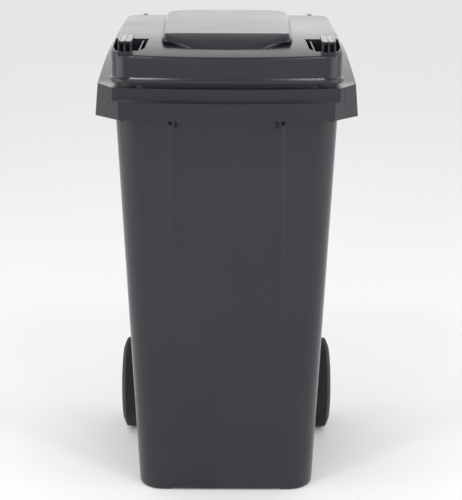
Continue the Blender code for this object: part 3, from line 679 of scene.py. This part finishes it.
def tub_shell():
    """The tub's tapered walls, drawn up ring by ring, with wheel wells, skids and an open mouth."""
    levels = [0.012, 0.05, 0.1, 0.14, 0.18, 0.22, 0.26, 0.3, 0.34, 0.38, 0.42, 0.46, 0.54, 0.62, 0.7, 0.76]
    levels += [0.768, 0.772, 0.776, 0.780, 0.784, NECK_Z]
    rings = [full_ring(tub_half(0.0, BASE_ROUNDING * (1 - math.sin(a))), BASE_ROUNDING * (1 - math.cos(a)))
             for a in (0.0, 0.4, 0.8, 1.2, math.pi / 2)]
    rings += [full_ring(tub_half(z), z) for z in levels]
    rings.append(full_ring(tub_half(NECK_Z), lambda x, y: rim_top(y) + UPSTAND))
    tub, _ = drawn_up("tub", rings)
    gap = [(-SKID_HALF_GAP, -0.3), (SKID_HALF_GAP, -0.3), (SKID_HALF_GAP, 0.3), (-SKID_HALF_GAP, 0.3)]
    combine(tub, slab("gap", gap, -0.01, SKID_HEIGHT, "Z"), "DIFFERENCE")
    for _, side in SIDES:
        combine(tub, axle_well(side), "DIFFERENCE")
    return hollow_out(tub, lambda face: face.normal.z > 0.9 and face.calc_center_median().z > 0.82, TUB_WALL)


def rim_shell(edge):
    """The stepped rim: a skirt, a ledge at the front for the lifting comb, and a flange."""
    def low(x, y):
        return mix(RIM_LOW_Z, rim_top(y) - RIM_SIDE_DROP, min(max((y - RIM_CORNER[1]) / 0.06, 0.0), 1.0))

    def block(inset, low_shift, top_shift):
        rings = [full_ring(rim_half(inset, RIM_SIDE[0]), lambda x, y: low(x, y) - low_shift),
                 full_ring(rim_half(inset, RIM_TOP_HALF_WIDTH), lambda x, y: rim_top(y) - top_shift)]
        made, order = drawn_up("rim", rings)
        strip_cap(made, order)
        front = RIM_FRONT_Y + inset + RIM_LEDGE_DEPTH
        steps = [k / 16 * 0.25 for k in range(-16, 17)]
        bow = [(x, front + RIM_BOW * (x / RIM_CORNER[0]) ** 2) for x in steps]
        step = bow + [(0.25, -0.35), (-0.25, -0.35)]
        return combine(made, slab("step", step, RIM_LEDGE_Z - top_shift, 0.90, "Z"), "DIFFERENCE")
    rim = block(0.0, 0.0, 0.0)
    combine(rim, block(RIM_WALL, 0.03, RIM_WALL), "DIFFERENCE")
    mouth = [(p.x, p.y) for p in full_ring(tub_half(NECK_Z, 0.001), 0.0)]
    combine(rim, slab("mouth", mouth, 0.70, 0.95, "Z"), "DIFFERENCE")
    return round_edges(rim, edge)


def web(side, corners, thickness):
    """A thin upright web through four (x, y, z) corners, centred on their plane."""
    a, b, c, _ = [Vector((side * x, y, z)) for x, y, z in corners]
    offset = (b - a).cross(c - a).normalized() * thickness / 2
    rings = [[Vector((side * x, y, z)) + offset * way for x, y, z in corners] for way in (-1, 1)]
    return drawn_up("web", rings)[0]


def rim_webs(side):
    """The webs that tie the rim's skirt to the tub on one side."""
    top = RIM_FRONT_TOP_Z - 0.003
    x = FRONT_WEB_X
    skirt_y = RIM_FRONT_Y + 0.002 + RIM_BOW * (x / RIM_CORNER[0]) ** 2
    made = [web(side, [(x, -0.229, RIM_LOW_Z - 0.021), (x, skirt_y, RIM_LOW_Z + 0.004),
                       (x, skirt_y, RIM_LEDGE_Z - 0.001), (x, -0.229, RIM_LEDGE_Z - 0.001)], 0.004)]
    made.append(web(side, [(0.176, -0.205, RIM_LOW_Z - 0.020), (0.2165, -0.2245, RIM_LOW_Z + 0.003),
                           (0.2165, -0.2245, top), (0.176, -0.205, top)], 0.003))
    for y in (-0.12, -0.03, 0.06):
        low, high = rim_top(y) - RIM_SIDE_DROP + 0.004, rim_top(y) - 0.001
        outline = [(0.2005, y, low - 0.012), (0.2375, y, low), (0.2355, y, high), (0.2005, y, high)]
        made.append(web(side, outline, 0.003))
    return made


def hinge_lug(side, reach, radius):
    """A plate from the tub's rear wall out to the hinge line, with a round end."""
    start, end = sorted(side * x for x in reach)
    outline = [(0.181, 0.8670), (0.2080, 0.8685)]
    outline += arc(*HINGE, radius, 160, -120, 28)
    outline += [(0.226, 0.8625), (0.181, 0.826)]
    return round_edges(slab("lug", outline, start, end, "X"), 0.0012)


def handle_bar():
    """The bar between the inner lugs, with a moulded collar at each end."""
    right = [(0.0, 0.0138), (0.120, 0.0138), (0.124, 0.014), (0.130, 0.0152), (0.1385, 0.0168),
             (0.1395, 0.0168)]
    left = [(-x, r) for x, r in reversed(right)][:-1]
    profile = [(-0.1395, 0.0), *left, *right, (0.1395, 0.0)]
    return turned("bar", profile, HINGE, 48, closed=False)


def axle_bracket(side, reach):
    """A plate behind the tub's foot that carries the axle."""
    start, end = sorted(side * x for x in reach)
    outline = [(0.125, 0.050), (0.153, 0.055)]
    outline += arc(*AXLE, 0.022, -60, 75, 18)
    outline += [(0.156, 0.150), (0.125, 0.155)]
    return round_edges(slab("bracket", outline, start, end, "X"), 0.0012)


def body_piece(settings, finish):
    """The whole one-piece moulding of the bin's body."""
    parts = [tub_shell(), rim_shell(settings.edge)]
    for _, side in SIDES:
        parts += rim_webs(side)
        parts.append(hinge_lug(side, (0.1385, 0.1495), INNER_LUG_RADIUS))
        parts.append(hinge_lug(side, (0.1705, 0.1800), OUTER_LUG_RADIUS))
        parts += [axle_bracket(side, (0.045, 0.057)), axle_bracket(side, (0.155, 0.1675))]
    parts.append(handle_bar())
    return complete(weld_together("bin_body", parts), "bin_body", finish, "bin", ["body"])


def lid_block(inset, lip_shift):
    """The lid as a full block with a flared lip and rounded shoulders; inset gives the space under it."""
    radius = max(LID_EDGE_RADIUS - inset, 0.001)

    def lip(rise):
        return lambda x, y: lid_lip(y) + rise
    rings = [full_ring(lid_half(inset, 0.0022), lip(-lip_shift)),
             full_ring(lid_half(inset, 0.0030), lip(0.0008)),
             full_ring(lid_half(inset, 0.0028), lip(0.0058)),
             full_ring(lid_half(inset, 0.0010), lip(0.0080)),
             full_ring(lid_half(inset), lip(0.0095))]
    for k in range(7):
        turn = math.pi / 2 * k / 6
        drop = radius * (1 - math.sin(turn))
        rings.append(full_ring(lid_half(inset + radius * (1 - math.cos(turn))),
                               lambda x, y, drop=drop: lid_top(y) - inset - drop))
    made, order = drawn_up("lid", rings)
    strip_cap(made, order)
    return made


def plateau_ring(inset, share):
    """One ring of the plateau: its foot on the lid at share 0, its crown at share 1."""
    half_width = mix(PLATEAU_FOOT_HALF_WIDTH, PLATEAU_HALF_WIDTH, share)
    front = mix(PLATEAU_FOOT_FRONT_Y, PLATEAU_FRONT[0], share)
    rear = mix(PLATEAU_FOOT_REAR_Y, PLATEAU_REAR_Y, share)
    power = mix(2.2, 26.0, share ** 2)
    plan = plateau_half(half_width - inset, front + inset, rear - inset, power)

    def height(x, y):
        return mix(lid_top(y) - 0.0002, plateau_top(y), share) - inset
    return full_ring(plan, height)


def plateau_block(inset):
    """The raised part of the lid's top, reaching down into the lid so that it joins it."""
    foot = plateau_ring(inset, 0.0)
    deep = [place - Vector((0.0, 0.0, 0.0025)) for place in foot]
    rings = [deep, foot] + [plateau_ring(inset, share) for share in (0.3, 0.6, 0.84, 0.94, 1.0)]
    made, order = drawn_up("plateau", rings)
    strip_cap(made, order)
    return made


def finger_pocket(side, margin):
    """The well under a grip, grown by margin."""
    plan = [(0.1435, -0.141), (0.1483, -0.213), (0.1592, -0.2265),
            (0.1985, -0.2265), (0.2048, -0.205), (0.2048, -0.141)]
    middle_x, middle_y = 0.176, -0.190
    grown = [(side * (x + math.copysign(margin, x - middle_x)), y + math.copysign(margin, y - middle_y))
             for x, y in plan]
    return slab("pocket", grown, POCKET_FLOOR_Z - margin, 0.96, "Z")


def pocket_rib(side):
    """The thin stiffening wall that stands beside a finger pocket's slanted inner wall."""
    outline = [(0.1520, -0.1415), (0.1545, -0.1415), (0.1595, -0.2262), (0.1570, -0.2236)]
    low = [Vector((side * x, y, POCKET_FLOOR_Z - 0.0005)) for x, y in outline]
    high = [Vector((side * x, y, lid_top(y) - 0.002)) for x, y in outline]
    return drawn_up("rib", [low, high])[0]


def strap_bar(side, path, across, up):
    """A bar along a path of (y, z) points, between two distances across and two heights off it."""
    front, rear = GRIP_FRONT_Y, GRIP_REAR_Y
    section = [(across[0], up[0]), (across[0], up[1]), (across[1], up[1]), (across[1], up[0])]
    rings = []
    for k, (y, z) in enumerate(path):
        before, after = path[max(k - 1, 0)], path[min(k + 1, len(path) - 1)]
        along = Vector((after[0] - before[0], after[1] - before[1])).normalized()
        out = Vector((along.y, -along.x))
        middle = GRIP_X + GRIP_TAIL_SHIFT * (y - front) / (rear - front)
        rings.append([Vector((side * (middle + x), y + out.x * rise, z + out.y * rise)) for x, rise in section])
    return drawn_up("grip", rings)[0]


def grip_parts(side):
    """A grip: a plate over the finger pocket that ends in three thin ribs, which turn down to a foot."""
    top = [(GRIP_REAR_Y, 0.9086), (-0.106, 0.9104), (-0.118, 0.9118), (-0.135, 0.9128), (-0.155, 0.9134),
           (-0.180, 0.9137), (-0.205, GRIP_TOP_Z)]
    bend = arc(GRIP_FRONT_Y + GRIP_BEND_RADIUS, GRIP_TOP_Z - GRIP_BEND_RADIUS, GRIP_BEND_RADIUS, 90, 180, 10)
    foot = [(GRIP_FRONT_Y, 0.8985), (GRIP_FRONT_Y, 0.8900)]
    half, rib = GRIP_WIDTH / 2, GRIP_RIB_WIDTH
    made = [strap_bar(side, top + bend[:2], (-half, half), (-0.003, 0.0012)),
            strap_bar(side, foot, (-half, half), (-0.003, 0.0012))]
    for middle in (rib / 2 - half, 0.0, half - rib / 2):
        bar = strap_bar(side, top + bend + foot[1:], (middle - rib / 2, middle + rib / 2), (-0.0028, 0.003))
        made.append(round_edges(bar, 0.0007, 2, 50))
    return made


def lid_arm(side):
    """The arm that reaches from the lid's rear edge round the hinge pin."""
    start, end = sorted(side * x for x in (0.1510, 0.1690))
    root = lid_top(0.190) - 0.0003
    outline = [(0.190, root), (0.228, 0.9122)]
    outline += arc(*HINGE, 0.0165, 105, -150, 26)
    outline += [(0.2020, 0.8930), (0.2005, 0.8990), (0.190, root - 0.0024)]
    return round_edges(slab("arm", outline, start, end, "X"), 0.0012)


def lid_piece(settings, finish):
    """The lid, hollow underneath, with its plateau, finger pockets, grips and hinge arms."""
    lid = combine(lid_block(0.0, 0.0), plateau_block(0.0), "UNION")
    space = combine(lid_block(LID_WALL, 0.03), plateau_block(LID_WALL), "UNION")
    for _, side in SIDES:
        combine(space, finger_pocket(side, 0.0025), "DIFFERENCE")
        combine(lid, finger_pocket(side, 0.0), "DIFFERENCE")
    combine(lid, space, "DIFFERENCE")
    parts = [lid]
    for _, side in SIDES:
        parts += grip_parts(side) + [lid_arm(side), pocket_rib(side)]
    return complete(weld_together("bin_lid", parts), "bin_lid", finish, "lid", ["lid"], 17.0)


def tyre_profile(settings):
    """Half a turn round the tyre's section: a ribbed tread, round shoulders and a seat."""
    half, seat, tread, width = 0.0203, 0.0783, TYRE_RADIUS, 0.0118
    right = [(half - 0.0012, seat), (half, seat + 0.0012), (0.0200, 0.0828), (0.0186, 0.0866),
             (0.0172, 0.0900), (0.0158, 0.0934), (0.0144, 0.0966), (0.0130, 0.0988)]
    crown = []
    pitch = 2 * width / settings.ribs
    for k in range(settings.ribs):
        start = width - k * pitch
        crown += [(start - pitch * 0.12, tread - 0.0001), (start - pitch * 0.62, tread - 0.0001)]
        if k < settings.ribs - 1:
            groove = tread - settings.rib_depth
            crown += [(start - pitch * 0.76, groove), (start - pitch * 0.98, groove)]
    left = [(-x, r) for x, r in reversed(right)]
    return right + crown + left


def tyre_pieces(settings, finish):
    """The two rubber tyres."""
    for word, side in SIDES:
        profile = [(side * WHEEL_X + x, r) for x, r in tyre_profile(settings)]
        tyre = turned("tyre", profile, AXLE, 120, closed=True)
        complete(tyre, f"tread_{word}", finish, f"wheel_{word}", [f"tyre_{word}"], 24.0)


def spoke(side, turn, across, reach, widths, slant):
    """A spoke between two distances along the axle, whose outer face leans in by slant at its far end."""
    outward = Vector((0.0, math.sin(turn), math.cos(turn)))
    sideways = Vector((0.0, math.cos(turn), -math.sin(turn)))
    near, far = reach
    rings = []
    for x, width, lean in zip(across, widths, (0.0, slant)):
        base = Vector((side * (WHEEL_X + x), *AXLE))
        tip = Vector((side * (WHEEL_X + x - lean), *AXLE))
        rings.append([base + outward * near + sideways * width / 2,
                      base + outward * near - sideways * width / 2,
                      tip + outward * far - sideways * width / 2,
                      tip + outward * far + sideways * width / 2])
    return round_edges(drawn_up("spoke", rings)[0], 0.0006, 2)


def wheel_centre(settings, side):
    """A wheel's moulded centre: hub, dished web with spokes on both faces, and the tyre's seat."""
    section = [(-0.0225, 0.0103), (-0.0225, 0.0175), (-0.0215, 0.0185), (0.0150, 0.0212), (0.0135, 0.024),
               (0.0135, 0.043), (0.0120, 0.064), (0.0105, 0.0675), (-0.0165, 0.0690), (-0.0185, 0.0700),
               (-0.0193, 0.0770), (-0.0185, 0.0780), (0.0185, 0.0780), (0.0195, 0.0770), (0.0200, 0.0735),
               (0.0192, 0.0715), (0.0178, 0.0690), (0.0172, 0.0640), (0.0186, 0.0470), (0.0196, 0.0300),
               (0.0212, 0.0262), (0.0240, 0.0255), (0.0245, 0.0248), (0.0245, 0.0172), (0.0210, 0.0170),
               (0.0210, 0.0103)]
    parts = [turned("centre", [(side * (WHEEL_X + x), r) for x, r in section], AXLE, 96, closed=True)]
    for k in range(settings.spokes):
        turn = 2 * math.pi * k / settings.spokes
        parts.append(spoke(side, turn, (0.0165, 0.0218), (0.022, 0.0695), (0.0030, 0.0018), 0.0022))
        parts.append(spoke(side, turn, (-0.0130, 0.0150), (0.016, 0.0705), (0.0024, 0.0024), 0.0))
    return weld_together("centre", parts)


def wheel_pieces(settings, finish):
    """The two wheel centres and their hub caps."""
    for word, side in SIDES:
        complete(wheel_centre(settings, side), f"wheel_centre_{word}", finish, f"wheel_{word}",
                 [f"wheel_rim_{word}"])
        dome = [(0.0213, 0.0), (0.0213, 0.0160), (0.0220, 0.0165), (0.0240, 0.0165), (0.0248, 0.0157),
                (0.0253, 0.0125), (0.0253, 0.0115), (0.0249, 0.0108), (0.0249, 0.0092), (0.0255, 0.0084),
                (0.0259, 0.0050), (0.0260, 0.0)]
        cap = turned("cap", [(side * (WHEEL_X + x), r) for x, r in dome], AXLE, 64, closed=False)
        complete(cap, f"hub_dome_{word}", finish, f"wheel_{word}", [f"hub_cap_{word}"])


def pin_pieces(finish):
    """The two hinge pins, each with a domed head that has a small dimple."""
    for word, side in SIDES:
        profile = [(0.1401, 0.0), (0.1401, 0.0045), (0.1421, 0.0060), (0.1803, 0.0060), (0.1803, 0.0096),
                   (0.1808, 0.0100), (0.1825, 0.0100), (0.1837, 0.0088), (0.1843, 0.0060), (0.1843, 0.0030),
                   (0.1837, 0.0022), (0.1836, 0.0)]
        pin = turned("pin", [(side * x, r) for x, r in profile], HINGE, 48, closed=False)
        complete(pin, f"lid_pin_{word}", finish, "bin", [f"hinge_pin_{word}"])


def give_finish(names, finish):
    """Gives CAD nodes whose shape is right a detailed material."""
    for name in names:
        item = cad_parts[name]
        item.data.materials.clear()
        item.data.materials.append(finish)


# ---------------------------------------------------------------- operators

class BIN_OT_materials(bpy.types.Operator):
    """Build the node groups and the materials"""
    bl_idname = "bin.materials"
    bl_label = "Materials"

    def execute(self, context):
        mould_grain_group()
        edge_wear_group()
        dust_group()
        bin_plastic(context.scene.bin_plastic)
        black_plastic()
        tyre_rubber()
        zinc_steel()
        studio_paper(context.scene.bin_studio)
        return {"FINISHED"}


class BIN_OT_body(bpy.types.Operator):
    """Model the tub, rim, lugs, handle and axle brackets"""
    bl_idname = "bin.body"
    bl_label = "Body"

    def execute(self, context):
        body_piece(context.scene.bin_plastic, bpy.data.materials["Grey polyethylene"])
        return {"FINISHED"}


class BIN_OT_lid(bpy.types.Operator):
    """Model the lid and its grips"""
    bl_idname = "bin.lid"
    bl_label = "Lid"

    def execute(self, context):
        lid_piece(context.scene.bin_plastic, bpy.data.materials["Grey polyethylene"])
        return {"FINISHED"}


class BIN_OT_wheels(bpy.types.Operator):
    """Model the wheel centres, hub caps and tyres"""
    bl_idname = "bin.wheels"
    bl_label = "Wheels"

    def execute(self, context):
        wheel_pieces(context.scene.bin_wheels, bpy.data.materials["Black moulded plastic"])
        tyre_pieces(context.scene.bin_wheels, bpy.data.materials["Tyre rubber"])
        return {"FINISHED"}


class BIN_OT_fittings(bpy.types.Operator):
    """Model the hinge pins and finish the axle, spacers and wheel locks"""
    bl_idname = "bin.fittings"
    bl_label = "Fittings"

    def execute(self, context):
        pin_pieces(bpy.data.materials["Grey polyethylene"])
        words = [word for word, _ in SIDES]
        give_finish(["axle"] + [f"{kind}_{w}" for kind in ("locking_pin", "locking_spring") for w in words],
                    bpy.data.materials["Zinc plated steel"])
        give_finish([f"{kind}_{w}" for kind in ("spacer", "spring_plug") for w in words],
                    bpy.data.materials["Black moulded plastic"])
        return {"FINISHED"}


class BIN_OT_studio(bpy.types.Operator):
    """Lay the floor, light it and place the camera"""
    bl_idname = "bin.studio"
    bl_label = "Studio"

    def execute(self, context):
        settings = context.scene.bin_studio
        floor(bpy.data.materials["Studio paper"])
        lights(settings)
        room(settings)
        camera(settings)
        return {"FINISHED"}


def floor(finish):
    """A wide sheet of pale paper under the bin."""
    sheet = slab("floor", [(-16.0, -10.0), (16.0, -10.0), (16.0, 18.0), (-16.0, 18.0)], -0.02, 0.0, "Z")
    sheet.data.materials.clear()
    sheet.data.materials.append(finish)


def area_light(name, place, target, size, power):
    bpy.ops.object.light_add(type="AREA", location=place)
    lamp = bpy.context.object
    lamp.name = name
    lamp.data.shape = "RECTANGLE"
    lamp.data.size, lamp.data.size_y = size
    lamp.data.energy = power
    lamp.rotation_euler = (Vector(target) - Vector(place)).to_track_quat("-Z", "Y").to_euler()


def lights(settings):
    """On each side: a small high light in front, an upright strip in front and a large soft light."""
    for word, side in SIDES:
        lid_side = (side * 0.1, -0.25, 0.8)
        area_light(f"{word}_key", (side * 0.8, -1.35, 2.95), lid_side, (0.3, 0.3), settings.key)
        area_light(f"{word}_strip", (side * 1.5, -3.3, 1.5), (0.0, -0.2, 0.8), (0.16, 1.0), settings.strip)
        power = settings.box * (1.0 - 0.12 * side)
        area_light(f"{word}_box", (side * 3.0, -0.6, 1.2), (0.0, 0.0, 0.5), (2.2, 2.2), power)


def room(settings):
    """An even pale room with a darker ceiling and a brighter band low down behind the bin."""
    world = bpy.data.worlds.new("Studio room")
    world.use_nodes = True
    tree = world.node_tree
    split = tree.nodes.new("ShaderNodeSeparateXYZ")
    tree.links.new(tree.nodes.new("ShaderNodeTexCoord").outputs["Generated"], split.inputs[0])
    behind = mapped(tree, split.outputs["Y"], 0.15, 0.45)
    low = mapped(tree, split.outputs["Z"], 0.66, 0.56)
    band = math_node(tree, "MULTIPLY", behind, low)
    ceiling = mapped(tree, split.outputs["Z"], 0.62, 0.76, 1.0, settings.ceiling)
    walls = mapped(tree, band, 0.0, 1.0, settings.room, settings.band)
    strength = math_node(tree, "MULTIPLY", ceiling, walls)
    tree.links.new(strength, tree.nodes["Background"].inputs["Strength"])
    tree.nodes["Background"].inputs["Color"].default_value = (1.0, 1.0, 1.0, 1.0)
    bpy.context.scene.world = world
    bpy.context.scene.view_settings.view_transform = "Standard"


def camera(settings):
    bpy.ops.object.camera_add(location=(settings.aside, -settings.distance, settings.height),
                              rotation=(math.pi / 2 - settings.pitch, settings.roll, 0.0))
    made = bpy.context.object
    made.name = "camera"
    made.data.sensor_width = 36.0
    made.data.lens = settings.lens
    bpy.context.scene.camera = made


class BIN_PT_panel(bpy.types.Panel):
    """Sizes, colours and steps of the bin"""
    bl_idname = "BIN_PT_panel"
    bl_label = "Wheeled refuse bin"
    bl_space_type = "VIEW_3D"
    bl_region_type = "UI"
    bl_category = "Bin"

    def draw(self, context):
        layout = self.layout
        for title in ("bin_plastic", "bin_wheels", "bin_studio"):
            group = getattr(context.scene, title)
            box = layout.box()
            for key in group.bl_rna.properties.keys():
                if key not in {"rna_type", "name"}:
                    box.prop(group, key)
        for step in STEPS:
            layout.operator(step.bl_idname)


STEPS = (BIN_OT_materials, BIN_OT_body, BIN_OT_lid, BIN_OT_wheels, BIN_OT_fittings, BIN_OT_studio)
CLASSES = (BinPlasticSettings, WheelSettings, StudioSettings, *STEPS, BIN_PT_panel)


def register():
    for item in CLASSES:
        bpy.utils.register_class(item)
    bpy.types.Scene.bin_plastic = PointerProperty(type=BinPlasticSettings)
    bpy.types.Scene.bin_wheels = PointerProperty(type=WheelSettings)
    bpy.types.Scene.bin_studio = PointerProperty(type=StudioSettings)


def unregister():
    del bpy.types.Scene.bin_studio
    del bpy.types.Scene.bin_wheels
    del bpy.types.Scene.bin_plastic
    for item in reversed(CLASSES):
        bpy.utils.unregister_class(item)


def main():
    register()
    bpy.ops.bin.materials()
    bpy.ops.bin.body()
    bpy.ops.bin.lid()
    bpy.ops.bin.wheels()
    bpy.ops.bin.fittings()
    bpy.ops.bin.studio()


if __name__ == "__main__":
    main()
